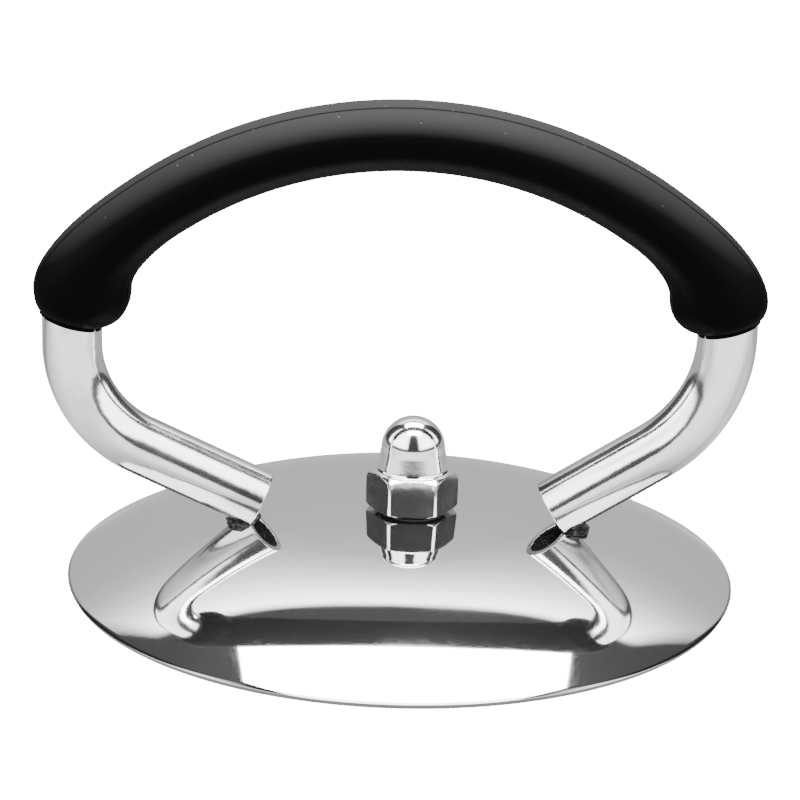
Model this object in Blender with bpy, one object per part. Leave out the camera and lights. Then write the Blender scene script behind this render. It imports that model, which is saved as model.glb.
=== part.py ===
"""Patty press: a domed cover with a bow handle, held by a cap nut on the stud of a flat pressing plate.

The origin is the centre of the pressing face. X runs along the handle, Y to the rear, Z up.
"""

import math

import bmesh
import bpy
from mathutils import Matrix, Vector

# Driving dimensions, in millimetres and degrees.
SCALE = 0.001  # metres in one millimetre
GAP = 0.3  # space left between pieces that touch
ROUND_STEPS = 64  # flats on the large round pieces
SMALL_STEPS = 32
LEG_SIDES = 16
GRIP_SIDES = 18

COVER_RADIUS = 70.0
COVER_SHEET = 1.2
COVER_RIM_LIFT = 0.4  # the rim stays this far above the table
CROWN_RADIUS = 300.0  # the nearly flat middle of the cover
CROWN_EDGE = 26.0  # where the crown meets the shoulder
RIM_SLOPE = 29.0
STUD_HOLE_RADIUS = 5.4
STUD_X = 2.1  # the stud stands slightly to the right of the middle

PLATE_RADIUS = 65.3
PLATE_THICKNESS = 1.8
PLATE_EDGE = 0.5

STUD_RADIUS = 4.9
STUD_ENGAGED = 10.0  # length of stud inside the cap nut
STUD_WELD = 2.4
JAM_NUT_HEIGHT = 5.0
INNER_WASHER = 2.0
INNER_WASHER_RADIUS = 14.0
SEAL_THICKNESS = 0.4
SEAL_RADIUS = 6.9
SEAL_RECESS = SEAL_THICKNESS + GAP  # depth of the nut's recess for it
THREAD_CLEARANCE = 0.25

NUT_FLATS = 17.0
NUT_HEX_HEIGHT = 8.0
NUT_HEIGHT = 19.2
NUT_NECK_RADIUS = 7.4
NUT_DOME_RADIUS = 6.7
NUT_BORE_DEPTH = 14.0

HANDLE_Y = -4.2  # the handle stands just in front of the nut
LEG_RADIUS = 6.2
LEG_WALL = 1.5
WELD_SIZE = (5.4, 6.7, 2.6)
WELD_SHIFT = 1.6  # the bead reaches this far outside the lip
LEG_TOP = 65.0  # height of the leg's upper end above the rim's upper edge
LEGS = {
    "left": {"side": -1, "foot": 29.5, "height": 16.9, "angle": 24.9, "straight": 27.7, "bend": 24.2},
    "right": {"side": 1, "foot": 31.4, "height": 16.4, "angle": 32.6, "straight": 24.5, "bend": 30.0},
}

GRIP_CENTRE = (-1.0, 7.7)  # centre of the bow, across and above the rim's upper edge
GRIP_OUTER = 96.0  # radii of the bow's outlines as seen from 18.7 degrees above
GRIP_INNER = 80.3
GRIP_VIEW_SLOPE = 0.338
GRIP_BOW_ANGLE = 36.0  # the bow turns into the lobes here
GRIP_HALF_DEPTH = 10.5
GRIP_LOBE_HALF = 10.1
GRIP_LOBE_SHIFT = 2.2  # the lobe's centre lies this far inside the leg's axis
GRIP_LOBE_HEIGHT = 62.6
GRIP_END_TILT = 15.0
GRIP_BOTTOM = {"left": 56.2, "right": 57.8}
GRIP_PARTING = -3.8  # the joint line, in front of the middle of the grip
GRIP_WALL = 2.4
GRIP_CAVITY_ANGLE = 33.0

SCREW_HEIGHT = 60.5
SCREW_RADIUS = 1.75
SCREW_HEAD_RADIUS = 3.4
SCREW_HEAD_HEIGHT = 2.2
SCREW_TIP_Y = -7.6
SCREW_POCKET_Y = 6.6

# Heights that follow from them.
RIM_TOP = COVER_RIM_LIFT + COVER_SHEET * math.cos(math.radians(RIM_SLOPE))
CROWN_SLOPE = math.asin(CROWN_EDGE / CROWN_RADIUS)
SHOULDER_RADIUS = (COVER_RADIUS - CROWN_EDGE) / (math.sin(math.radians(RIM_SLOPE)) - math.sin(CROWN_SLOPE))


def clear_scene():
    for item in list(bpy.data.objects):
        bpy.data.objects.remove(item, do_unlink=True)


def make_material(name, colour, metallic, roughness):
    material = bpy.data.materials.new(name)
    material.use_nodes = True
    shader = material.node_tree.nodes["Principled BSDF"]
    shader.inputs["Base Color"].default_value = (*colour, 1.0)
    shader.inputs["Metallic"].default_value = metallic
    shader.inputs["Roughness"].default_value = roughness
    return material


def add_object(name, shape, material, parent, hidden=False):
    """Turns a bmesh in millimetres into a smooth-shaded object in metres."""
    bmesh.ops.remove_doubles(shape, verts=shape.verts, dist=1e-4)
    bmesh.ops.recalc_face_normals(shape, faces=shape.faces)
    bmesh.ops.scale(shape, vec=(SCALE, SCALE, SCALE), verts=shape.verts)
    mesh = bpy.data.meshes.new(name)
    shape.to_mesh(mesh)
    shape.free()
    mesh.shade_smooth()
    mesh.set_sharp_from_angle(angle=math.radians(35))
    if material:
        mesh.materials.append(material)
    item = bpy.data.objects.new(name, mesh)
    bpy.context.scene.collection.objects.link(item)
    item.parent = parent
    if hidden:
        item.hide_render = True
        item.display_type = "WIRE"
    return item


def add_empty(name, parent=None):
    empty = bpy.data.objects.new(name, None)
    bpy.context.scene.collection.objects.link(empty)
    empty.parent = parent
    return empty


def cut(target, cutter, name):
    modifier = target.modifiers.new(name, "BOOLEAN")
    modifier.operation = "DIFFERENCE"
    modifier.solver = "EXACT"
    modifier.object = cutter


def arc(centre, radius, start, end, steps):
    """Points on an arc in the plane of the profile, angles in degrees."""
    points = []
    for step in range(steps + 1):
        angle = math.radians(start + (end - start) * step / steps)
        points.append((centre[0] + radius * math.cos(angle), centre[1] + radius * math.sin(angle)))
    return points


def turn(profile, steps=SMALL_STEPS):
    """Spins a closed outline of (radius, height) points about Z."""
    shape = bmesh.new()
    corners = [shape.verts.new((radius, 0.0, height)) for radius, height in profile]
    pairs = zip(corners, corners[1:] + corners[:1])
    edges = [shape.edges.new(pair) for pair in pairs if max(pair[0].co.x, pair[1].co.x) > 1e-4]
    bmesh.ops.spin(
        shape, geom=corners + edges, cent=(0, 0, 0), axis=(0, 0, 1), angle=math.tau, steps=steps, use_merge=True
    )
    bmesh.ops.remove_doubles(shape, verts=shape.verts, dist=1e-4)
    bmesh.ops.dissolve_degenerate(shape, dist=1e-4, edges=shape.edges)
    return shape


def add_ring(shape, centre, along, across, half_across, half_depth, sides):
    """Adds one elliptical section and returns its edges. Its plane holds across and the Y direction."""
    depth = along.cross(across)
    frame = Matrix((across, depth, along)).transposed().to_4x4()
    place = Matrix.Translation(centre) @ frame @ Matrix.Diagonal((half_across, half_depth, 1.0, 1.0))
    made = bmesh.ops.create_circle(shape, cap_ends=False, radius=1.0, segments=sides, matrix=place)
    return list({edge for vertex in made["verts"] for edge in vertex.link_edges})


def loft(sections, sides, wall=0.0):
    """Joins sections of (centre, direction, half width, half depth). With a wall it is a pipe, open at both ends."""
    shape = bmesh.new()
    rings = []
    for centre, along, half_across, half_depth in sections:
        across = Vector((along.z, 0.0, -along.x))
        rings.append(add_ring(shape, centre, along, across, half_across, half_depth, sides))
    for lower, upper in zip(rings, rings[1:]):
        bmesh.ops.bridge_loops(shape, edges=lower + upper)
    if wall:
        bmesh.ops.recalc_face_normals(shape, faces=shape.faces)
        bmesh.ops.solidify(shape, geom=shape.faces, thickness=wall)
    else:
        for end in (0, -1):
            bmesh.ops.contextual_create(shape, geom=rings[end])
    return shape


def cover_drop(radius):
    """How far the cover's upper face lies below its middle at this radius."""
    if radius <= CROWN_EDGE:
        return CROWN_RADIUS - math.sqrt(CROWN_RADIUS**2 - radius**2)
    crown = CROWN_RADIUS * (1 - math.cos(CROWN_SLOPE))
    sine = math.sin(CROWN_SLOPE) + (radius - CROWN_EDGE) / SHOULDER_RADIUS
    return crown + SHOULDER_RADIUS * (math.cos(CROWN_SLOPE) - math.sqrt(1 - sine**2))


def cover_slope(radius):
    if radius <= CROWN_EDGE:
        return math.asin(radius / CROWN_RADIUS)
    return math.asin(math.sin(CROWN_SLOPE) + (radius - CROWN_EDGE) / SHOULDER_RADIUS)


COVER_TOP = RIM_TOP + cover_drop(COVER_RADIUS)
NUT_BASE = COVER_TOP + GAP


def cover_outline(radii, raise_by=0.0):
    """Upper face from the hole to the rim, moved out along its normal by raise_by."""
    points = []
    for radius in radii:
        slope = cover_slope(radius)
        height = COVER_TOP - cover_drop(radius)
        points.append((radius + raise_by * math.sin(slope), height + raise_by * math.cos(slope)))
    return points


def make_cover(steel, parent):
    rings = 8
    radii = [COVER_RADIUS * ring / rings for ring in range(rings + 1)]
    upper = cover_outline(radii)
    lower = cover_outline(radii, raise_by=-COVER_SHEET)
    cover = add_object("dome_cover", turn(upper + lower[::-1], steps=ROUND_STEPS), steel, parent)
    low, high = COVER_TOP - COVER_SHEET - 2.0, COVER_TOP + 2.0
    hole = turn([(0.0, low), (STUD_HOLE_RADIUS, low), (STUD_HOLE_RADIUS, high), (0.0, high)])
    bmesh.ops.translate(hole, vec=(STUD_X, 0.0, 0.0), verts=hole.verts)
    cut(cover, add_object("dome_cover_hole", hole, None, parent, hidden=True), "stud hole")


def make_plate(steel, parent):
    edge = arc((PLATE_RADIUS - PLATE_EDGE, PLATE_EDGE), PLATE_EDGE, -90, 0, 2)
    edge += arc((PLATE_RADIUS - PLATE_EDGE, PLATE_THICKNESS - PLATE_EDGE), PLATE_EDGE, 0, 90, 2)
    profile = [(0.0, 0.0)] + edge + [(0.0, PLATE_THICKNESS)]
    add_object("press_plate", turn(profile, steps=ROUND_STEPS), steel, parent)


def make_stud(steel, parent):
    bottom = PLATE_THICKNESS + GAP
    top = NUT_BASE + STUD_ENGAGED
    chamfer = 1.0
    profile = [
        (0.0, bottom),
        (STUD_RADIUS, bottom),
        (STUD_RADIUS, top - chamfer),
        (STUD_RADIUS - chamfer, top),
        (0.0, top),
    ]
    add_object("centre_stud", turn(profile), steel, parent)
    inner = STUD_RADIUS + GAP
    bead = [(inner, bottom), (inner + STUD_WELD, bottom)]
    bead += arc((inner + STUD_WELD, bottom + STUD_WELD), STUD_WELD, -90, -180, 3)[1:]
    add_object("stud_weld", turn(bead), steel, parent)


def hexagon(height, flats):
    """A hexagonal prism standing on Z = 0, with two flats facing front and rear."""
    shape = bmesh.new()
    radius = flats / 2 / math.cos(math.radians(30))
    bmesh.ops.create_circle(shape, cap_ends=True, radius=radius, segments=6)
    base = list(shape.faces)
    raised = bmesh.ops.extrude_face_region(shape, geom=base)
    lifted = [item for item in raised["geom"] if isinstance(item, bmesh.types.BMVert)]
    bmesh.ops.translate(shape, vec=(0, 0, height), verts=lifted)
    bmesh.ops.rotate(shape, cent=(0, 0, 0), matrix=Matrix.Rotation(math.tau / 4, 3, "Z"), verts=shape.verts)
    return shape


def turned_corners(height, flats, tool_height):
    """The waste a lathe takes off a hexagon's corners: everything outside a 30 degree cone at both ends."""
    corner = flats / 2 / math.cos(math.radians(30))
    depth = (corner - flats / 2 * 0.97) * math.tan(math.radians(30))
    outside = corner + 4.0
    start = flats / 2 * 0.97
    top = [(start, tool_height), (outside, tool_height), (outside, height - depth), (corner, height - depth), (start, height)]
    return turn(top)


def make_jam_nut(steel, parent):
    base = COVER_TOP - COVER_SHEET - GAP - INNER_WASHER - GAP - JAM_NUT_HEIGHT
    nut = add_object("jam_nut", hexagon(JAM_NUT_HEIGHT, NUT_FLATS), steel, parent)
    nut.location.z = base * SCALE
    bore = STUD_RADIUS + THREAD_CLEARANCE
    hole = [(0.0, -1.0), (bore, -1.0), (bore, JAM_NUT_HEIGHT + 1.0), (0.0, JAM_NUT_HEIGHT + 1.0)]
    cutter = add_object("jam_nut_hole", turn(hole), None, nut, hidden=True)
    cut(nut, cutter, "bore")
    corners = add_object(
        "jam_nut_corners", turned_corners(JAM_NUT_HEIGHT, NUT_FLATS, JAM_NUT_HEIGHT + 1.0), None, nut, hidden=True
    )
    cut(nut, corners, "turned top")
    bottom = base + JAM_NUT_HEIGHT + GAP
    inner = STUD_HOLE_RADIUS
    ring = [
        (inner, bottom),
        (INNER_WASHER_RADIUS, bottom),
        (INNER_WASHER_RADIUS, bottom + INNER_WASHER - 0.4),
        (inner, bottom + INNER_WASHER),
    ]
    add_object("inner_washer", turn(ring), steel, parent)


def make_seal(rubber, parent):
    bottom = COVER_TOP + GAP
    top = bottom + SEAL_THICKNESS
    ring = [(STUD_HOLE_RADIUS, bottom), (SEAL_RADIUS, bottom), (SEAL_RADIUS, top), (STUD_HOLE_RADIUS, top)]
    add_object("seal_washer", turn(ring), rubber, parent)


def make_cap_nut(steel, parent):
    """A hexagon cut by a turned skin, joined to a turned dome, with a blind bore from below."""
    nut = add_object("cap_nut", hexagon(NUT_HEX_HEIGHT, NUT_FLATS), steel, parent)
    nut.location.z = NUT_BASE * SCALE
    corners = add_object(
        "cap_nut_corners", turned_corners(NUT_HEX_HEIGHT, NUT_FLATS, NUT_HEX_HEIGHT + 1.0), None, nut, hidden=True
    )
    cut(nut, corners, "turned top")
    neck = NUT_HEX_HEIGHT - 0.5
    shoulder = NUT_HEIGHT - NUT_DOME_RADIUS
    profile = [(0.0, neck), (NUT_NECK_RADIUS, neck), (NUT_NECK_RADIUS, NUT_HEX_HEIGHT + 0.8)]
    profile += arc((0.0, shoulder), NUT_DOME_RADIUS, 0, 90, 6)
    dome = add_object("cap_nut_dome", turn(profile), None, nut, hidden=True)
    joined = nut.modifiers.new("dome", "BOOLEAN")
    joined.operation = "UNION"
    joined.solver = "EXACT"
    joined.object = dome
    bore = STUD_RADIUS + THREAD_CLEARANCE
    recess = SEAL_RADIUS + GAP
    hole = [(0.0, -1.0), (recess, -1.0), (recess, SEAL_RECESS), (bore, SEAL_RECESS)]
    hole += [(bore, NUT_BORE_DEPTH - 1.5), (0.0, NUT_BORE_DEPTH)]
    cutter = add_object("cap_nut_bore", turn(hole), None, nut, hidden=True)
    cut(nut, cutter, "bore")


def leg_axis(leg):
    """Centre, direction and height of the leg's middle line from its foot to its upper end."""
    side = leg["side"]
    angle = math.radians(leg["angle"])
    foot = Vector((leg["foot"], leg["height"]))
    heading = Vector((math.cos(angle), math.sin(angle)))
    knee = foot + heading * leg["straight"]
    centre = knee + Vector((-heading.y, heading.x)) * leg["bend"]
    line = [(foot, angle), (knee, angle)]
    steps = 7
    for step in range(1, steps + 1):
        turned = angle + (math.tau / 4 - angle) * step / steps
        point = centre + Vector((math.sin(turned), -math.cos(turned))) * leg["bend"]
        line.append((point, turned))
    line.append((Vector((line[-1][0].x, LEG_TOP)), math.tau / 4))
    return [
        (Vector((side * p.x, HANDLE_Y, RIM_TOP + p.y)), Vector((side * math.cos(a), 0.0, math.sin(a)))) for p, a in line
    ]


def leg_solid(leg, grow=0.0, wall=0.0, stretch=0.0):
    line = leg_axis(leg)
    if stretch:
        line[0] = (line[0][0] - line[0][1] * stretch, line[0][1])
        line[-1] = (line[-1][0] + line[-1][1] * GAP, line[-1][1])
    radius = LEG_RADIUS + grow
    return loft([(point, along, radius, radius) for point, along in line], sides=LEG_SIDES, wall=wall)


def screw_place(leg):
    upper = leg_axis(leg)[-1][0]
    return Vector((upper.x, HANDLE_Y, RIM_TOP + SCREW_HEIGHT))


def along_y(profile, place):
    """A turned shape whose axis lies along +Y through the given point."""
    shape = turn(profile)
    bmesh.ops.rotate(shape, cent=(0, 0, 0), matrix=Matrix.Rotation(-math.tau / 4, 3, "X"), verts=shape.verts)
    bmesh.ops.translate(shape, vec=place, verts=shape.verts)
    return shape


def cover_block(name, parent):
    """The cover filled up solid, GAP larger above, to trim what is welded to it."""
    radii = [10.0 + 45.0 * step / 12 for step in range(13)]
    block = cover_outline(radii, raise_by=GAP)
    block = [(0.0, block[0][1] + 0.2)] + block + [(radii[-1], -5.0), (0.0, -5.0)]
    return add_object(name, turn(block, steps=ROUND_STEPS), None, parent, hidden=True)


def make_leg(name, leg, steel, parent):
    """A bent tube with its lower lip cut to the cover and a cross hole for the grip screw."""
    item = add_object(f"leg_{name}", leg_solid(leg, wall=LEG_WALL), steel, parent)
    cut(item, cover_block(f"leg_{name}_cover", parent), "cover")
    reach = LEG_RADIUS + 1.0
    radius = SCREW_RADIUS + GAP
    hole = along_y([(0.0, -reach), (radius, -reach), (radius, reach), (0.0, reach)], screw_place(leg))
    cut(item, add_object(f"leg_{name}_hole", hole, None, parent, hidden=True), "screw hole")


def make_weld(name, leg, steel, parent):
    """A bead in the corner between the leg's lower lip and the cover."""
    foot, along = leg_axis(leg)[0]
    lip_x = abs(foot.x) + abs(along.z) * LEG_RADIUS + WELD_SHIFT
    place = Vector((leg["side"] * lip_x, HANDLE_Y, COVER_TOP - cover_drop(math.hypot(lip_x, HANDLE_Y))))
    shape = bmesh.new()
    bmesh.ops.create_uvsphere(shape, u_segments=20, v_segments=10, radius=1.0)
    bmesh.ops.scale(shape, vec=WELD_SIZE, verts=shape.verts)
    bmesh.ops.translate(shape, vec=place, verts=shape.verts)
    bead = add_object(f"weld_{name}", shape, steel, parent)
    pipe = leg_solid(leg, grow=GAP, stretch=9.0)
    cut(bead, add_object(f"weld_{name}_pipe", pipe, None, parent, hidden=True), "leg")
    cut(bead, cover_block(f"weld_{name}_cover", parent), "cover")


def bezier(start, start_pull, end_pull, end, share):
    rest = 1 - share
    return start * rest**3 + start_pull * 3 * rest**2 * share + end_pull * 3 * rest * share**2 + end * share**3


def grip_half(name, leg):
    """Pairs of outer and inner points from the crown to the leg, each with the half depth there."""
    side = leg["side"]
    centre = Vector(GRIP_CENTRE)
    leg_x = abs(leg_axis(leg)[-1][0].x)
    lobe = Vector((side * (leg_x - GRIP_LOBE_SHIFT), GRIP_LOBE_HEIGHT))
    pairs = []
    arch_steps = 7
    for step in range(arch_steps + 1):
        angle = math.radians(GRIP_BOW_ANGLE) * step / arch_steps
        ray = Vector((side * math.sin(angle), math.cos(angle)))
        pairs.append((centre + ray * GRIP_OUTER, centre + ray * GRIP_INNER, GRIP_HALF_DEPTH))
    outer, inner, depth = pairs[-1]
    forward = Vector((side * math.cos(angle), -math.sin(angle)))
    outer_end = lobe + Vector((side * GRIP_LOBE_HALF, 0.0))
    inner_end = lobe - Vector((side * GRIP_LOBE_HALF, 0.0))
    fan_steps = 5
    for step in range(1, fan_steps + 1):
        share = step / fan_steps
        a = bezier(outer, outer + forward * 13.0, outer_end + Vector((0.0, 6.0)), outer_end, share)
        b = bezier(inner, inner + forward * 7.0, inner_end + Vector((0.0, 2.5)), inner_end, share)
        pairs.append((a, b, GRIP_HALF_DEPTH))
    end_half = LEG_RADIUS + 0.8
    lobe_steps = 4
    for step in range(1, lobe_steps + 1):
        angle = math.tau / 4 * step / lobe_steps
        share = 1 - math.cos(angle)
        tilt = math.radians(GRIP_END_TILT) * step / lobe_steps
        half = GRIP_LOBE_HALF + (end_half - GRIP_LOBE_HALF) * share
        depth = GRIP_HALF_DEPTH + (end_half - GRIP_HALF_DEPTH) * share
        middle = Vector((lobe.x + (side * leg_x - lobe.x) * share, lobe.y + (GRIP_BOTTOM[name] - lobe.y) * math.sin(angle)))
        reach = Vector((side * math.cos(tilt), math.sin(tilt))) * half
        pairs.append((middle + reach, middle - reach, depth))
    return pairs


def grip_sections(inset=0.0):
    """Sections of the grip from the left end over the crown to the right end."""
    left, right = (grip_half(name, leg) for name, leg in LEGS.items())
    sections = []
    for outer, inner, depth in left[::-1] + right[1:]:
        middle, reach = (outer + inner) / 2, (outer - inner) / 2
        unit = reach.normalized()
        half = math.sqrt(reach.length**2 - (GRIP_VIEW_SLOPE * depth * unit.y) ** 2)
        place = Vector((middle.x, HANDLE_Y, RIM_TOP + middle.y))
        sections.append((place, Vector((unit.y, 0.0, -unit.x)), half - inset, depth - inset))
    return sections


def make_grip(plastic, parent):
    limit = math.cos(math.radians(GRIP_CAVITY_ANGLE))
    inside = [section for section in grip_sections(inset=GRIP_WALL) if section[1].x > limit]
    cavity = add_object("grip_cavity", loft(inside, sides=GRIP_SIDES), None, parent, hidden=True)
    joint_y = HANDLE_Y + GRIP_PARTING
    for name, low_y, high_y in (("front", joint_y - GAP / 2, joint_y + 60), ("rear", joint_y - 60, joint_y + GAP / 2)):
        shell = add_object(f"grip_{name}_shell", loft(grip_sections(), sides=GRIP_SIDES), plastic, parent)
        box = bmesh.new()
        bmesh.ops.create_cube(box, size=1.0)
        bmesh.ops.scale(box, vec=(220.0, high_y - low_y, 120.0), verts=box.verts)
        bmesh.ops.translate(box, vec=(0.0, (low_y + high_y) / 2, 80.0), verts=box.verts)
        cut(shell, add_object(f"grip_{name}_waste", box, None, parent, hidden=True), "other half")
        cut(shell, cavity, "cavity")
        for side, leg in LEGS.items():
            socket = leg_solid(leg, grow=GAP, stretch=0.01)
            cut(shell, add_object(f"grip_{name}_{side}_socket", socket, None, parent, hidden=True), f"{side} leg")
            radius = SCREW_RADIUS + GAP
            head = SCREW_HEAD_RADIUS + GAP
            profile = [
                (0.0, SCREW_TIP_Y - GAP),
                (radius, SCREW_TIP_Y - GAP),
                (radius, SCREW_POCKET_Y),
                (head, SCREW_POCKET_Y),
                (head, GRIP_HALF_DEPTH + 2.0),
                (0.0, GRIP_HALF_DEPTH + 2.0),
            ]
            hole = along_y(profile, screw_place(leg))
            cut(shell, add_object(f"grip_{name}_{side}_hole", hole, None, parent, hidden=True), f"{side} screw")


def make_screw(name, leg, steel, parent):
    seat = SCREW_POCKET_Y + GAP
    top = seat + SCREW_HEAD_HEIGHT
    profile = [
        (0.0, SCREW_TIP_Y),
        (SCREW_RADIUS * 0.5, SCREW_TIP_Y),
        (SCREW_RADIUS, SCREW_TIP_Y + 1.5),
        (SCREW_RADIUS, seat),
        (SCREW_HEAD_RADIUS, seat),
        (SCREW_HEAD_RADIUS, top - 0.9),
        (SCREW_HEAD_RADIUS * 0.7, top),
        (0.0, top),
    ]
    screw = add_object(f"grip_screw_{name}", along_y(profile, screw_place(leg)), steel, parent)
    slot = bmesh.new()
    bmesh.ops.create_cube(slot, size=1.0)
    bmesh.ops.scale(slot, vec=(SCREW_HEAD_RADIUS * 3, 2.0, 0.9), verts=slot.verts)
    bmesh.ops.translate(slot, vec=screw_place(leg) + Vector((0.0, top, 0.0)), verts=slot.verts)
    cut(screw, add_object(f"grip_screw_{name}_slot", slot, None, parent, hidden=True), "slot")


def main():
    clear_scene()
    steel = make_material("polished_stainless_steel", (0.62, 0.62, 0.62), 1.0, 0.12)
    weld = make_material("weld_metal", (0.18, 0.17, 0.16), 0.9, 0.45)
    plastic = make_material("black_moulded_plastic", (0.012, 0.012, 0.013), 0.0, 0.42)
    zinc = make_material("bright_zinc_steel", (0.58, 0.58, 0.56), 1.0, 0.25)
    rubber = make_material("grey_sealing_rubber", (0.07, 0.07, 0.07), 0.0, 0.6)

    base = add_empty("base")
    cover = add_empty("cover", base)
    stud_axis = add_empty("stud_axis", base)
    stud_axis.location.x = STUD_X * SCALE
    seal = add_empty("seal", cover)
    seal.location.x = STUD_X * SCALE
    nut = add_empty("nut", seal)

    make_plate(steel, base)
    make_stud(steel, stud_axis)
    make_jam_nut(zinc, stud_axis)
    make_cover(steel, cover)
    make_grip(plastic, cover)
    for name, leg in LEGS.items():
        make_leg(name, leg, steel, cover)
        make_weld(name, leg, weld, cover)
        make_screw(name, leg, zinc, cover)
    make_seal(rubber, seal)
    make_cap_nut(steel, nut)


main()
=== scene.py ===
# Patty press: a mirror polished cover, a black bow grip on two bent tubes and a domed cap nut.
# X runs along the grip, Y away from the viewer, Z up. Sizes are in millimetres until a piece is finished.
import math

import bmesh
import bpy
from mathutils import Matrix, Vector, noise


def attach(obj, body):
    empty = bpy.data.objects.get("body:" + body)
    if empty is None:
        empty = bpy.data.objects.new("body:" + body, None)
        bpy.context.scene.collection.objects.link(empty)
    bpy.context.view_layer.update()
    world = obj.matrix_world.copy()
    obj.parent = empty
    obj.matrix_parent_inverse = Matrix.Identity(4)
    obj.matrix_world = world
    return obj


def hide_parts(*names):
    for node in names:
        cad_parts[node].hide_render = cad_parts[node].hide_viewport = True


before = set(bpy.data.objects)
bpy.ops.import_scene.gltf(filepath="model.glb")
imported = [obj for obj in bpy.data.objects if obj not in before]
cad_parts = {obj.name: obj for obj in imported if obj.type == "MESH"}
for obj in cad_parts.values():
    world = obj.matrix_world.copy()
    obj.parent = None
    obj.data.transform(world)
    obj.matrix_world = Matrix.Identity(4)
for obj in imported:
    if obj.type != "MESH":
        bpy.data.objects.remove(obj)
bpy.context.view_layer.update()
print("stage: frame loaded")


def hexColour(text):
    channels = [int(text[i : i + 2], 16) / 255 for i in (0, 2, 4)]
    return [c / 12.92 if c <= 0.04045 else ((c + 0.055) / 1.055) ** 2.4 for c in channels] + [1.0]


def addNode(material, kind, settings=None, links=None):
    # settings: input or property to value; links: input to the socket that feeds it
    node = material.node_tree.nodes.new(kind)
    for key, value in (settings or {}).items():
        if isinstance(key, int) or key in node.inputs:
            node.inputs[key].default_value = value
        else:
            setattr(node, key, value)
    for key, socket in (links or {}).items():
        material.node_tree.links.new(socket, node.inputs[key])
    return node


def newMaterial(name):
    material = bpy.data.materials.new(name)
    material.use_nodes = True
    material.node_tree.nodes.clear()
    return material


def rampBetween(material, value, low, high, lowOut, highOut):
    node = addNode(material, "ShaderNodeMapRange", {1: low, 2: high, 3: lowOut, 4: highOut}, {0: value})
    return node.outputs[0]


def combine(material, operation, first, second):
    return addNode(material, "ShaderNodeMath", {"operation": operation}, {0: first, 1: second}).outputs[0]


def reachAlong(material, place, axes):
    # distance from the origin, measured only along the axes marked 1
    kept = addNode(material, "ShaderNodeVectorMath", {"operation": "MULTIPLY", 1: axes}, {0: place})
    length = addNode(material, "ShaderNodeVectorMath", {"operation": "LENGTH"}, {0: kept.outputs[0]})
    return length.outputs["Value"]


def noiseAt(material, place, scale, detail, softness=0.5):
    settings = {"Scale": scale, "Detail": detail, "Roughness": softness}
    return addNode(material, "ShaderNodeTexNoise", settings, {"Vector": place}).outputs[0]


def blendColours(material, first, second, share):
    settings = {"data_type": "RGBA", 6: hexColour(first), 7: hexColour(second)}
    return addNode(material, "ShaderNodeMix", settings, {0: share}).outputs[2]


def bumpFrom(material, height, distance, strength=1.0, under=None):
    links = {"Height": height}
    if under is not None:
        links["Normal"] = under
    return addNode(material, "ShaderNodeBump", {"Strength": strength, "Distance": distance}, links).outputs[0]


def cameraSees(material, other):
    # the camera sees white; everything that the object reflects is the other value
    seen = addNode(material, "ShaderNodeLightPath").outputs["Is Camera Ray"]
    settings = {"data_type": "FLOAT", 3: studio["shown"]}
    return addNode(material, "ShaderNodeMix", settings, {0: seen, 2: other}).outputs[0]


def finishShader(material, settings, links):
    shader = addNode(material, "ShaderNodeBsdfPrincipled", settings, links)
    addNode(material, "ShaderNodeOutputMaterial", None, {"Surface": shader.outputs[0]})
    return material


def finishPiece(name, shape, material, body, replaced):
    bmesh.ops.remove_doubles(shape, verts=shape.verts, dist=1e-4)
    bmesh.ops.recalc_face_normals(shape, faces=shape.faces)
    bmesh.ops.scale(shape, vec=(0.001, 0.001, 0.001), verts=shape.verts)
    mesh = bpy.data.meshes.new(name)
    shape.to_mesh(mesh)
    shape.free()
    mesh.materials.append(material)
    mesh.shade_smooth()
    mesh.set_sharp_from_angle(angle=math.radians(38))
    piece = bpy.data.objects.new(name, mesh)
    bpy.context.scene.collection.objects.link(piece)
    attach(piece, body)
    if replaced:
        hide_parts(*replaced)
    return piece


def meshObject(name, shape):
    mesh = bpy.data.meshes.new(name)
    bmesh.ops.recalc_face_normals(shape, faces=shape.faces)
    shape.to_mesh(mesh)
    shape.free()
    piece = bpy.data.objects.new(name, mesh)
    bpy.context.scene.collection.objects.link(piece)
    return piece


def softenEdges(shape, edges, size):
    bmesh.ops.bevel(shape, geom=edges, offset=size, segments=3, profile=0.5, affect="EDGES", material=-1)


def arcPoints(centre, radius, start, end, steps):
    angles = [math.radians(start + (end - start) * i / steps) for i in range(steps + 1)]
    return [(centre[0] + radius * math.cos(a), centre[1] + radius * math.sin(a)) for a in angles]


def spinShape(profile, steps):
    shape = bmesh.new()
    corners = [shape.verts.new((radius, 0.0, height)) for radius, height in profile]
    pairs = zip(corners, corners[1:] + corners[:1])
    edges = [shape.edges.new(pair) for pair in pairs if max(pair[0].co.x, pair[1].co.x) > 1e-4]
    around = {"cent": (0, 0, 0), "axis": (0, 0, 1), "angle": math.tau, "steps": steps, "use_merge": True}
    bmesh.ops.spin(shape, geom=corners + edges, **around)
    bmesh.ops.remove_doubles(shape, verts=shape.verts, dist=1e-4)
    return shape


def ringEdges(shape, centre, along, halfWidth, halfDepth, sides):
    across = Vector((along.z, 0.0, -along.x))
    turned = Matrix((across, along.cross(across), along)).transposed().to_4x4()
    place = Matrix.Translation(centre) @ turned @ Matrix.Diagonal((halfWidth, halfDepth, 1.0, 1.0))
    made = bmesh.ops.create_circle(shape, cap_ends=False, radius=1.0, segments=sides, matrix=place)
    return list({edge for vertex in made["verts"] for edge in vertex.link_edges})


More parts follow.
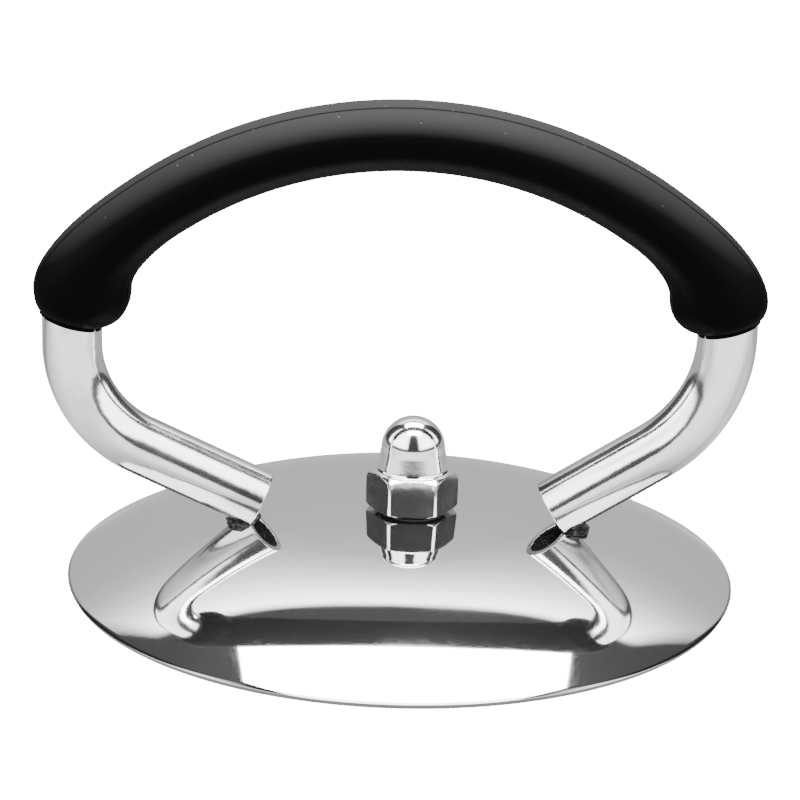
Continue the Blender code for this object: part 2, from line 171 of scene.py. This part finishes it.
def loftShape(sections, sides, capped=True):
    shape = bmesh.new()
    rings = [ringEdges(shape, *section, sides) for section in sections]
    for lower, upper in zip(rings, rings[1:]):
        bmesh.ops.bridge_loops(shape, edges=lower + upper)
    if capped:
        for end in (0, -1):
            bmesh.ops.contextual_create(shape, geom=rings[end])
    return shape


cover = {
    "radius": 70.0,
    "sheet": 1.2,
    "rimTop": 1.4495,  # height of the rim's upper edge above the table
    "crownRadius": 300.0,
    "crownEdge": 26.0,
    "rimSlope": 29.0,
    "holeRadius": 5.4,
    "edgeRadius": 0.12,
    "holeSlide": (8.0, 26.0),  # the stud hole's shift fades out between these radii
    "steps": 288,
    "rings": 64,
}
crownSlope = math.asin(cover["crownEdge"] / cover["crownRadius"])
rimSine = math.sin(math.radians(cover["rimSlope"]))
shoulderRadius = (cover["radius"] - cover["crownEdge"]) / (rimSine - math.sin(crownSlope))


def coverDrop(radius):
    if radius <= cover["crownEdge"]:
        return cover["crownRadius"] - math.sqrt(cover["crownRadius"] ** 2 - radius**2)
    crown = cover["crownRadius"] * (1 - math.cos(crownSlope))
    sine = math.sin(crownSlope) + (radius - cover["crownEdge"]) / shoulderRadius
    return crown + shoulderRadius * (math.cos(crownSlope) - math.sqrt(1 - sine**2))


def coverSlope(radius):
    if radius <= cover["crownEdge"]:
        return math.asin(radius / cover["crownRadius"])
    return math.asin(math.sin(crownSlope) + (radius - cover["crownEdge"]) / shoulderRadius)


coverTop = cover["rimTop"] + coverDrop(cover["radius"])


def coverLine(inset):
    start = cover["holeRadius"]
    radii = [start + (cover["radius"] - start) * i / cover["rings"] for i in range(cover["rings"] + 1)]
    line = []
    for radius in radii:
        slope = coverSlope(radius)
        height = coverTop - coverDrop(radius)
        line.append((radius - inset * math.sin(slope), height - inset * math.cos(slope)))
    return line


def buildCover(material):
    upper = coverLine(0.0)
    lower = coverLine(cover["sheet"])
    lower[0] = (cover["holeRadius"], lower[0][1])
    slope = math.radians(cover["rimSlope"])
    inward = Vector((-math.cos(slope), math.sin(slope)))
    down = Vector((-math.sin(slope), -math.cos(slope)))
    size = cover["edgeRadius"]
    rimTop, rimBottom = Vector(upper[-1]), Vector(lower[-1])
    soft = [rimTop + inward * size, rimTop + (inward + down) * size * 0.29, rimTop + down * size]
    soft += [rimBottom - down * size, rimBottom + (inward - down) * size * 0.29, rimBottom + inward * size]
    profile = upper[:-1] + [tuple(point) for point in soft] + lower[-2::-1]
    shape = spinShape(profile, cover["steps"])
    slideFrom, slideTo = cover["holeSlide"]
    for vertex in shape.verts:  # slides the stud hole off centre along the curved surface
        radius = math.hypot(vertex.co.x, vertex.co.y)
        share = max(0.0, min(1.0, (slideTo - radius) / (slideTo - slideFrom)))
        moved = vertex.co.x + capNut["x"] * share * share * (3 - 2 * share)
        vertex.co.z += coverDrop(radius) - coverDrop(math.hypot(moved, vertex.co.y))
        vertex.co.x = moved
    return finishPiece("domeCover", shape, material, "cover", ["dome_cover"])


legs = {
    "left": {"side": -1, "foot": 29.5, "height": 16.9, "angle": 24.9, "straight": 27.7, "bend": 24.2},
    "right": {"side": 1, "foot": 31.4, "height": 16.4, "angle": 32.6, "straight": 24.5, "bend": 30.0},
}
tube = {"y": -4.2, "radius": 6.2, "wall": 1.5, "top": 65.0, "sides": 72, "lip": 0.18}
foot = {"from": 10.0, "to": 55.0, "steps": 40, "gap": 0.05}  # the ring of cover that the tubes are trimmed to


def legAxis(leg, bendSteps=28):
    side = leg["side"]
    angle = math.radians(leg["angle"])
    start = Vector((leg["foot"], leg["height"]))
    heading = Vector((math.cos(angle), math.sin(angle)))
    knee = start + heading * leg["straight"]
    centre = knee + Vector((-heading.y, heading.x)) * leg["bend"]
    line = [(start, angle), (start + heading * 0.4, angle), (knee, angle)]
    for step in range(1, bendSteps + 1):
        turned = angle + (math.tau / 4 - angle) * step / bendSteps
        line.append((centre + Vector((math.sin(turned), -math.cos(turned))) * leg["bend"], turned))
    line.append((Vector((line[-1][0].x, tube["top"])), math.tau / 4))
    points = [Vector((side * point.x, tube["y"], cover["rimTop"] + point.y)) for point, turned in line]
    headings = [Vector((side * math.cos(turned), 0.0, math.sin(turned))) for point, turned in line]
    return list(zip(points, headings))


def buildLeg(name, leg, material):
    line = legAxis(leg)
    radius = tube["radius"]
    sections = [(point, along, radius, radius) for point, along in line]
    shape = loftShape(sections, tube["sides"], capped=False)
    bmesh.ops.recalc_face_normals(shape, faces=shape.faces)
    bmesh.ops.solidify(shape, geom=shape.faces, thickness=tube["wall"])
    rims = [edge for edge in shape.edges if edge.calc_face_angle(0.0) > 1.0]
    softenEdges(shape, rims, tube["lip"])
    span = foot["to"] - foot["from"]
    radii = [foot["from"] + span * i / foot["steps"] for i in range(foot["steps"] + 1)]
    block = [(radius, coverTop - coverDrop(radius) + foot["gap"]) for radius in radii]
    block = [(0.0, block[0][1] + 0.2)] + block + [(radii[-1], -5.0), (0.0, -5.0)]
    cutter = meshObject("coverBlock", spinShape(block, 144))
    piece = meshObject("uncutLeg", shape)
    trim = piece.modifiers.new("trim", "BOOLEAN")
    trim.operation, trim.solver, trim.object = "DIFFERENCE", "EXACT", cutter
    trimmed = bpy.data.meshes.new_from_object(piece.evaluated_get(bpy.context.evaluated_depsgraph_get()))
    shape = bmesh.new()
    shape.from_mesh(trimmed)
    for helper in (cutter, piece):
        bpy.data.objects.remove(helper, do_unlink=True)
    return finishPiece(
        f"leg{name.title()}", shape, material, "cover", [f"leg_{name}"]
    )


weld = {
    "size": (3.6, 4.4, 1.1),
    "shift": 1.0,  # how far outside the tube's lip its middle lies
    "lumps": 2.6,
    "lumpHeight": 0.14,
    "seed": 4.0,
}


def buildWeld(name, leg, material):
    # a lumpy bead where the tube's lower lip meets the cover
    start, along = legAxis(leg)[0]
    lipX = abs(start.x) + abs(along.z) * tube["radius"] + weld["shift"]
    floor = coverTop - coverDrop(math.hypot(lipX, tube["y"]))
    centre = Vector((leg["side"] * lipX, tube["y"], floor))
    shape = bmesh.new()
    bmesh.ops.create_icosphere(shape, subdivisions=5, radius=1.0)
    for vertex in shape.verts:
        bump = noise.noise(vertex.co * weld["lumps"] + Vector((weld["seed"] * leg["side"], 0, 0)))
        point = centre + vertex.co * (1.0 + weld["lumpHeight"] * bump) * Vector(weld["size"])
        point.z = max(point.z, coverTop - coverDrop(math.hypot(point.x, point.y)) + 0.02)
        vertex.co = point
    return finishPiece(f"weld{name.title()}", shape, material, "cover", [f"weld_{name}"])


grip = {
    "centre": (-1.0, 7.7),
    "outer": 96.0,  # outlines of the bow as seen from the viewer's height
    "inner": 80.3,
    "viewSlope": 0.338,
    "bowAngle": 36.0,
    "halfDepth": 10.5,
    "outerFan": (13.0, 6.0),  # how far the curve from bow to lobe leads out of each
    "innerFan": (7.0, 2.5),
    "lobeHalf": 10.1,
    "lobeShift": 2.2,
    "lobeHeight": 62.6,
    "endTilt": 15.0,
    "bottom": {"left": 56.2, "right": 57.8},
    "collar": 0.45,  # the moulded lip stands this far off the tube
    "lip": 0.9,
    "parting": -3.8,  # joint line in front of the middle of the grip
    "seam": 0.16,  # half width of the joint line
    "seamEdge": 0.3,
    "sides": 96,
}


def bezier(start, startPull, endPull, end, share):
    rest = 1 - share
    pulls = startPull * rest**2 * share + endPull * rest * share**2
    return start * rest**3 + pulls * 3 + end * share**3


def gripHalf(name, leg, archSteps=44, fanSteps=26, lobeSteps=18):
    # outer and inner outline points from the crown to the leg, each with the half depth there
    side = leg["side"]
    centre = Vector(grip["centre"])
    legX = abs(legAxis(leg)[-1][0].x)
    lobe = Vector((side * (legX - grip["lobeShift"]), grip["lobeHeight"]))
    pairs = []
    for step in range(archSteps + 1):
        angle = math.radians(grip["bowAngle"]) * step / archSteps
        ray = Vector((side * math.sin(angle), math.cos(angle)))
        pairs.append((centre + ray * grip["outer"], centre + ray * grip["inner"], grip["halfDepth"]))
    outer, inner, depth = pairs[-1]
    forward = Vector((side * math.cos(angle), -math.sin(angle)))
    outerEnd = lobe + Vector((side * grip["lobeHalf"], 0.0))
    innerEnd = lobe - Vector((side * grip["lobeHalf"], 0.0))
    (outerPull, outerRise), (innerPull, innerRise) = grip["outerFan"], grip["innerFan"]
    for step in range(1, fanSteps + 1):
        share = step / fanSteps
        outerLead = outerEnd + Vector((0.0, outerRise))
        innerLead = innerEnd + Vector((0.0, innerRise))
        outerPoint = bezier(outer, outer + forward * outerPull, outerLead, outerEnd, share)
        innerPoint = bezier(inner, inner + forward * innerPull, innerLead, innerEnd, share)
        pairs.append((outerPoint, innerPoint, grip["halfDepth"]))
    endHalf = tube["radius"] + grip["collar"]
    for step in range(1, lobeSteps + 1):
        angle = math.tau / 4 * step / lobeSteps
        share = 1 - math.cos(angle)
        tilt = math.radians(grip["endTilt"]) * step / lobeSteps
        half = grip["lobeHalf"] + (endHalf - grip["lobeHalf"]) * share
        depth = grip["halfDepth"] + (endHalf - grip["halfDepth"]) * share
        drop = (grip["bottom"][name] - lobe.y) * math.sin(angle)
        middle = Vector((lobe.x + (side * legX - lobe.x) * share, lobe.y + drop))
        reach = Vector((side * math.cos(tilt), math.sin(tilt))) * half
        pairs.append((middle + reach, middle - reach, depth))
    lip = Vector((side * math.sin(tilt), -math.cos(tilt))) * grip["lip"]
    pairs.append((middle + reach + lip, middle - reach + lip, depth))
    return pairs


def gripSections():
    left, right = (gripHalf(name, leg) for name, leg in legs.items())
    sections = []
    for outer, inner, depth in left[::-1] + right[1:]:
        middle, reach = (outer + inner) / 2, (outer - inner) / 2
        unit = reach.normalized()
        half = math.sqrt(reach.length**2 - (grip["viewSlope"] * depth * unit.y) ** 2)
        place = Vector((middle.x, tube["y"], cover["rimTop"] + middle.y))
        sections.append((place, Vector((unit.y, 0.0, -unit.x)), half, depth))
    return sections


def buildGrip(material):
    jointY = tube["y"] + grip["parting"]
    for name, sign in (("front", -1), ("rear", 1)):
        shape = loftShape(gripSections(), grip["sides"])
        cutY = jointY + sign * grip["seam"]
        cut = bmesh.ops.bisect_plane(
            shape,
            geom=shape.verts[:] + shape.edges[:] + shape.faces[:],
            plane_co=(0, cutY, 0),
            plane_no=(0, sign, 0),
            clear_inner=True,
        )
        border = [item for item in cut["geom_cut"] if isinstance(item, bmesh.types.BMEdge)]
        bmesh.ops.triangle_fill(shape, use_beauty=True, use_dissolve=False, edges=border)
        rim = [edge for edge in shape.edges if abs(edge.verts[0].co.y - cutY) < 1e-3]
        rim = [edge for edge in rim if edge.calc_face_angle(0.0) > 0.6]
        softenEdges(shape, rim, grip["seamEdge"])
        finishPiece(
            f"grip{name.title()}", shape, material, "cover", [f"grip_{name}_shell"]
        )


capNut = {
    "x": 2.1,
    "base": 16.58,
    "recess": 0.85,
    "recessRadius": 7.2,
    "flats": 17.0,
    "hexHeight": 8.0,
    "height": 19.35,
    "neckRadius": 7.4,
    "neckFillet": 0.8,
    "domeRadius": 6.7,
    "bore": 5.15,
    "boreDepth": 12.7,
    "boreTip": 1.5,
    "skirt": 0.9,  # height of the lower chamfer
    "crown": 0.97,  # share of the flats' half width where the upper chamfer ends
    "edge": 0.9,  # radius of the six upright edges
    "bearing": 9.05,
}


def buildCapNut(material):
    # a turned skin whose radius is cut down to the hexagon, all in one mesh
    flats, height, edge = capNut["flats"] / 2, capNut["hexHeight"], capNut["edge"]
    cornerAt = (flats - edge) / math.cos(math.radians(30))  # middle of each rounded upright edge
    skin = cornerAt + edge
    rise = math.tan(math.radians(30))
    bearing = capNut["bearing"]
    profile = [(bearing, 0.0)]  # (radius, height) from the bearing face up
    profile += [(bearing + (skin - bearing) * i / 6, (skin - bearing) * i / 6 * rise) for i in range(1, 7)]
    skirt, crown = capNut["skirt"], flats * capNut["crown"]
    top = (skin - crown) * rise
    profile += [(skin, skirt + (height - top - skirt) * i / 6) for i in range(1, 7)]
    profile += [(skin + (crown - skin) * i / 8, height - top + top * i / 8) for i in range(1, 9)]
    neck, dome, fillet = capNut["neckRadius"], capNut["domeRadius"], capNut["neckFillet"]
    profile += arcPoints((neck + fillet, height + fillet), fillet, -90, -180, 4)
    shoulder = capNut["height"] - dome
    neckTop = height + fillet
    profile += [(neck + (dome - neck) * i / 5, neckTop + (shoulder - neckTop) * i / 5) for i in range(1, 5)]
    profile += arcPoints((0.0, shoulder), dome, 0, 90, 20)
    profile[-1] = (0.0, capNut["height"])
    bore, depth = capNut["bore"], capNut["boreDepth"]
    profile += [(0.0, depth + capNut["boreTip"]), (bore, depth), (bore, capNut["recess"])]
    profile += [(capNut["recessRadius"], capNut["recess"]), (capNut["recessRadius"], 0.0)]
    shape = spinShape(profile, 360)
    for vertex in shape.verts:
        radius = math.hypot(vertex.co.x, vertex.co.y)
        if vertex.co.z > height + 0.01 or radius < flats * 0.9:
            continue
        angle = math.atan2(vertex.co.y, vertex.co.x)
        away = abs((angle % (math.tau / 6)) - math.tau / 12)
        across = cornerAt * math.sin(math.tau / 12 - away)
        limit = flats / math.cos(away)
        if across < edge / 2:
            limit = cornerAt * math.cos(math.tau / 12 - away) + math.sqrt(edge**2 - across**2)
        if radius > limit:
            vertex.co.x *= limit / radius
            vertex.co.y *= limit / radius
    bmesh.ops.translate(shape, vec=(capNut["x"], 0, capNut["base"]), verts=shape.verts)
    return finishPiece("capNut", shape, material, "nut", ["cap_nut"])


finish = {
    "cutEdge": "7c7c7c",
    "hazeRoughness": 0.5,
    "patchScale": 60.0,
    "streakScale": (30, 420, 30),
    "streaks": (0.5, 0.68, 0.0, 0.8),
    "gripBlack": "020202",
    "gripPaintedTopLight": "1e1e1e",  # painted highlight: the colour the grip's upward faces are lightened to
    "gripDust": "8a8a8a",
    "gripShine": 0.012,
    "weldDark": "121110",
    "weldLight": "4c4a48",
    "sealGrey": "4a4a4a",
}


def mirrorSteel(name, scratches, rough, tint="cdcdcd", haze=0.0, wave=0.0, cutEdge=None, streaks=False):
    # polished steel: hairline polishing marks, a few duller patches, and a faint haze over the mirror
    material = newMaterial(name)
    scale, depth = scratches
    place = addNode(material, "ShaderNodeTexCoord").outputs["Object"]
    stretch = addNode(material, "ShaderNodeMapping", {"Scale": scale}, {"Vector": place}).outputs[0]
    lines = noiseAt(material, stretch, 1.0, 5.0, 0.6)
    patches = noiseAt(material, place, finish["patchScale"], 3.0)
    roughness = rampBetween(material, patches, 0.35, 0.75, *rough)
    dents = bumpFrom(material, patches, wave)
    bump = bumpFrom(material, lines, depth, under=dents)
    worn = None
    if cutEdge:  # the sheet's cut edge is duller than its face
        reach = reachAlong(material, place, (1, 1, 0))
        worn = rampBetween(material, reach, cutEdge, cutEdge + 0.00006, 0.0, 1.0)
    if streaks:  # darker stains drawn out along the tube
        length = addNode(material, "ShaderNodeMapping", {"Scale": finish["streakScale"]}, {"Vector": place})
        worn = rampBetween(material, noiseAt(material, length.outputs[0], 1.0, 4.0), *finish["streaks"])
    shared = {"Metallic": 1.0, "Base Color": hexColour(tint)}
    clearLinks = {"Roughness": roughness, "Normal": bump}
    dullLinks = {}
    if worn is not None:
        clearLinks["Base Color"] = blendColours(material, tint, finish["cutEdge"], worn)
        dullLinks["Base Color"] = clearLinks["Base Color"]
    clear = addNode(material, "ShaderNodeBsdfPrincipled", shared, clearLinks)
    dullSettings = shared | {"Roughness": finish["hazeRoughness"]}
    dull = addNode(material, "ShaderNodeBsdfPrincipled", dullSettings, dullLinks)
    mixed = addNode(material, "ShaderNodeMixShader", {0: haze}, {1: clear.outputs[0], 2: dull.outputs[0]})
    addNode(material, "ShaderNodeOutputMaterial", None, {"Surface": mixed.outputs[0]})
    return material


def blackPlastic():
    # satin black moulded plastic: fine grain, a painted highlight that lightens the faces that look up, a few
    # dust specks
    material = newMaterial("satinBlackMouldedPlastic")
    place = addNode(material, "ShaderNodeTexCoord").outputs["Object"]
    rough = rampBetween(material, noiseAt(material, place, 90.0, 3.0), 0.3, 0.7, 0.44, 0.52)
    facing = addNode(material, "ShaderNodeNewGeometry").outputs["Normal"]
    upward = addNode(material, "ShaderNodeSeparateXYZ", None, {0: facing}).outputs[2]
    # painted highlight: the base colour lightens on faces that look up, standing in for the overhead light;
    # the same mask keeps the dust specks on those faces
    upwardPaintedLight = rampBetween(material, upward, 0.45, 1.0, 0.0, 1.0)
    colour = blendColours(material, finish["gripBlack"], finish["gripPaintedTopLight"], upwardPaintedLight)
    specks = addNode(material, "ShaderNodeTexVoronoi", {"Scale": 330.0}, {"Vector": place})
    dust = rampBetween(material, specks.outputs["Distance"], 0.03, 0.07, 0.25, 0.0)
    dusted = addNode(
        material,
        "ShaderNodeMix",
        {"data_type": "RGBA", 7: hexColour(finish["gripDust"])},
        {0: combine(material, "MULTIPLY", dust, upwardPaintedLight), 6: colour},
    )
    grain = bumpFrom(material, noiseAt(material, place, 2600.0, 3.0), 0.00003, 0.25)
    settings = {"Metallic": 0.0, "IOR": 1.45, "Specular IOR Level": finish["gripShine"]}
    links = {"Base Color": dusted.outputs[2], "Roughness": rough, "Normal": grain}
    return finishShader(material, settings, links)


def weldMetal():
    # burnt weld bead: dark scale with lighter high spots
    material = newMaterial("burntWeldBead")
    place = addNode(material, "ShaderNodeTexCoord").outputs["Object"]
    lumps = noiseAt(material, place, 700.0, 5.0)
    spots = rampBetween(material, lumps, 0.45, 0.7, 0.0, 1.0)
    colour = blendColours(material, finish["weldDark"], finish["weldLight"], spots)
    bump = bumpFrom(material, lumps, 0.0003, 0.8)
    settings = {"Metallic": 0.85, "Roughness": 0.42}
    return finishShader(material, settings, {"Base Color": colour, "Normal": bump})


def greyRubber():
    # matt grey rubber sheet
    material = newMaterial("greySealRubber")
    place = addNode(material, "ShaderNodeTexCoord").outputs["Object"]
    bump = bumpFrom(material, noiseAt(material, place, 1500.0, 3.0), 0.00005, 0.4)
    settings = {"Base Color": hexColour(finish["sealGrey"]), "Roughness": 0.6}
    return finishShader(material, settings, {"Normal": bump})


edgeStart = cover["radius"] / 1000 - 0.0006
coverSteel = mirrorSteel(
    "mirrorPolishedSheet", ((60, 260, 60), 0.000003), (0.03, 0.06), haze=0.008, cutEdge=edgeStart
)
tubeSteel = mirrorSteel(
    "polishedTube", ((200, 600, 200), 0.00003), (0.09, 0.17), "c8c8c8", haze=0.02, wave=0.00015, streaks=True
)
nutSteel = mirrorSteel("polishedNut", ((500, 500, 500), 0.00001), (0.08, 0.16))
blackGrip = blackPlastic()
weldScale = weldMetal()

buildCover(coverSteel)
for legName, legSizes in legs.items():
    buildLeg(legName, legSizes, tubeSteel)
    buildWeld(legName, legSizes, weldScale)
buildGrip(blackGrip)
buildCapNut(nutSteel)
print("stage: pieces built")

zincScrew = mirrorSteel("zincPlatedScrew", ((300, 300, 300), 0.00001), (0.2, 0.32), "c2c3c0")
keptNodes = {
    "press_plate": mirrorSteel("brushedPressingPlate", ((40, 900, 40), 0.000006), (0.16, 0.26), "c9c9c9"),
    "centre_stud": mirrorSteel("turnedStud", ((40, 40, 3000), 0.00003), (0.15, 0.25), "c4c4c4"),
    "stud_weld": weldScale,
    "jam_nut": mirrorSteel("zincPlatedNut", ((300, 300, 300), 0.00001), (0.2, 0.32), "c2c3c0"),
    "inner_washer": mirrorSteel("zincPlatedWasher", ((300, 300, 300), 0.00001), (0.2, 0.32), "c2c3c0"),
    "grip_screw_left": zincScrew,
    "grip_screw_right": zincScrew,
    "seal_washer": greyRubber(),
}
for nodeName, material in keptNodes.items():
    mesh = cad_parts[nodeName].data
    mesh.materials.clear()
    mesh.materials.append(material)
print("stage: materials set")

studio = {
    "shown": 20.0,  # how bright the floor and backdrop look behind the object
    "floorSize": 6.0,
    "floorDepth": -0.0002,
    "floorFade": (-0.12, 0.08, 3.4, 0.8),  # from this far in front to this far behind, and the glow at each
    "floorShade": (0.066, 0.095, 0.45, 1.0),  # the contact shadow round the object
    "dark": 0.09,  # the unlit room
    "backdrop": [  # (sine of the angle above level, glow)
        (0.0, 0.68),
        (0.3, 0.78),
        (0.42, 0.85),
        (0.52, 1.1),
        (0.6, 1.7),
        (0.66, 2.7),
        (0.71, 4.2),
        (0.745, 6.2),
        (0.78, 8.0),
    ],
    "backdropTop": math.sin(math.radians(51.2)),
    "backdropHalf": 38.0,  # degrees either side of straight behind
    "backdropFade": 2.0,
    "backdropEdge": 0.012,
    "sideTurn": (72.0, 158.0),  # degrees from straight behind
    "sideClimb": (0.16, 0.86),
    "sideFade": (3.0, 0.04),
    "side": 9.0,
    "top": 30.0,
    "topSize": (0.9, 1.05),
    "topPlace": (0.03, 0.02, 1.02),
}
view = {
    "lens": 151.46,
    "place": (-0.01038, -0.6628, 0.2645),
    "forward": (0.01347, 0.94687, -0.32133),
    "roll": 1.59,
}


def buildStage():
    floorShape = bmesh.new()
    bmesh.ops.create_grid(floorShape, x_segments=1, y_segments=1, size=studio["floorSize"])
    mesh = bpy.data.meshes.new("floor")
    floorShape.to_mesh(mesh)
    floorShape.free()
    floor = bpy.data.objects.new("floor", mesh)
    bpy.context.scene.collection.objects.link(floor)
    floor.location.z = studio["floorDepth"]
    material = newMaterial("paleFloor")
    place = addNode(material, "ShaderNodeTexCoord").outputs["Object"]
    depth = addNode(material, "ShaderNodeSeparateXYZ", None, {0: place}).outputs[1]
    lit = rampBetween(material, depth, *studio["floorFade"])
    shade = rampBetween(material, reachAlong(material, place, (1, 1, 1)), *studio["floorShade"])
    strength = cameraSees(material, combine(material, "MULTIPLY", lit, shade))
    glow = addNode(material, "ShaderNodeEmission", {"Color": hexColour("ffffff")}, {"Strength": strength})
    addNode(material, "ShaderNodeOutputMaterial", None, {"Surface": glow.outputs[0]})
    mesh.materials.append(material)
    return floor


def windowBetween(world, value, low, high, soft):
    rise = rampBetween(world, value, low - soft, low + soft, 0.0, 1.0)
    fall = rampBetween(world, value, high - soft, high + soft, 1.0, 0.0)
    return combine(world, "MULTIPLY", rise, fall)


def backdropGlow(world, climb):
    level = None
    for (low, lowGlow), (high, highGlow) in zip(studio["backdrop"], studio["backdrop"][1:]):
        if level is None:
            level = rampBetween(world, climb, low, high, lowGlow, highGlow)
        else:
            rise = rampBetween(world, climb, low, high, 0.0, highGlow - lowGlow)
            level = combine(world, "ADD", level, rise)
    return level


def buildWorld():
    # a pale backdrop that brightens upwards, two large white panels beside the viewer, a dark room between
    world = bpy.data.worlds.new("studio")
    bpy.context.scene.world = world
    world.use_nodes = True
    world.node_tree.nodes.clear()
    place = addNode(world, "ShaderNodeTexCoord").outputs["Generated"]
    x, y, z = addNode(world, "ShaderNodeSeparateXYZ", None, {0: place}).outputs
    wide = addNode(world, "ShaderNodeMath", {"operation": "ABSOLUTE"}, {0: x}).outputs[0]
    turned = combine(world, "ARCTAN2", wide, y)
    climb = combine(world, "DIVIDE", z, reachAlong(world, place, (0, 1, 1)))  # the backdrop is flat
    half, fade = (math.radians(studio[key]) for key in ("backdropHalf", "backdropFade"))
    across = rampBetween(world, turned, half - fade, half + fade, 1.0, 0.0)
    top, edge = studio["backdropTop"], studio["backdropEdge"]
    below = rampBetween(world, climb, top - edge, top + edge, 1.0, 0.0)
    mask = combine(world, "MULTIPLY", across, below)
    back = combine(world, "MULTIPLY", backdropGlow(world, climb), mask)
    sideFrom, sideTo = (math.radians(turn) for turn in studio["sideTurn"])
    fadeAcross, fadeUp = studio["sideFade"]
    sideAcross = windowBetween(world, turned, sideFrom, sideTo, math.radians(fadeAcross))
    sideUp = windowBetween(world, z, *studio["sideClimb"], fadeUp)
    sides = combine(world, "MULTIPLY", sideAcross, sideUp)
    settings = {"operation": "MULTIPLY_ADD", 1: studio["side"]}
    lit = addNode(world, "ShaderNodeMath", settings, {0: sides, 2: back}).outputs[0]
    total = addNode(world, "ShaderNodeMath", {"operation": "ADD", 1: studio["dark"]}, {0: lit}).outputs[0]
    links = {"Strength": cameraSees(world, total)}
    sky = addNode(world, "ShaderNodeBackground", {"Color": hexColour("ffffff")}, links)
    addNode(world, "ShaderNodeOutputWorld", None, {"Surface": sky.outputs[0]})


def buildSoftbox():
    width, depth = studio["topSize"]
    data = bpy.data.lights.new("topSoftbox", "AREA")
    data.shape = "RECTANGLE"
    data.size, data.size_y = width, depth
    data.energy = studio["top"] * math.pi * width * depth
    lamp = bpy.data.objects.new("topSoftbox", data)
    bpy.context.scene.collection.objects.link(lamp)
    lamp.location = studio["topPlace"]


def buildCamera():
    data = bpy.data.cameras.new("camera")
    data.lens = view["lens"]
    data.sensor_width = 36.0
    camera = bpy.data.objects.new("camera", data)
    bpy.context.scene.collection.objects.link(camera)
    forward = Vector(view["forward"]).normalized()
    right = forward.cross(Vector((0, 0, 1))).normalized()
    up = right.cross(forward)
    roll = math.radians(view["roll"])
    axisX = right * math.cos(roll) + up * math.sin(roll)
    axisY = up * math.cos(roll) - right * math.sin(roll)
    turned = Matrix((axisX, axisY, -forward)).transposed()
    camera.matrix_world = Matrix.Translation(view["place"]) @ turned.to_4x4()
    bpy.context.scene.camera = camera


buildStage()
buildWorld()
buildSoftbox()
buildCamera()
print("stage: light and camera set")
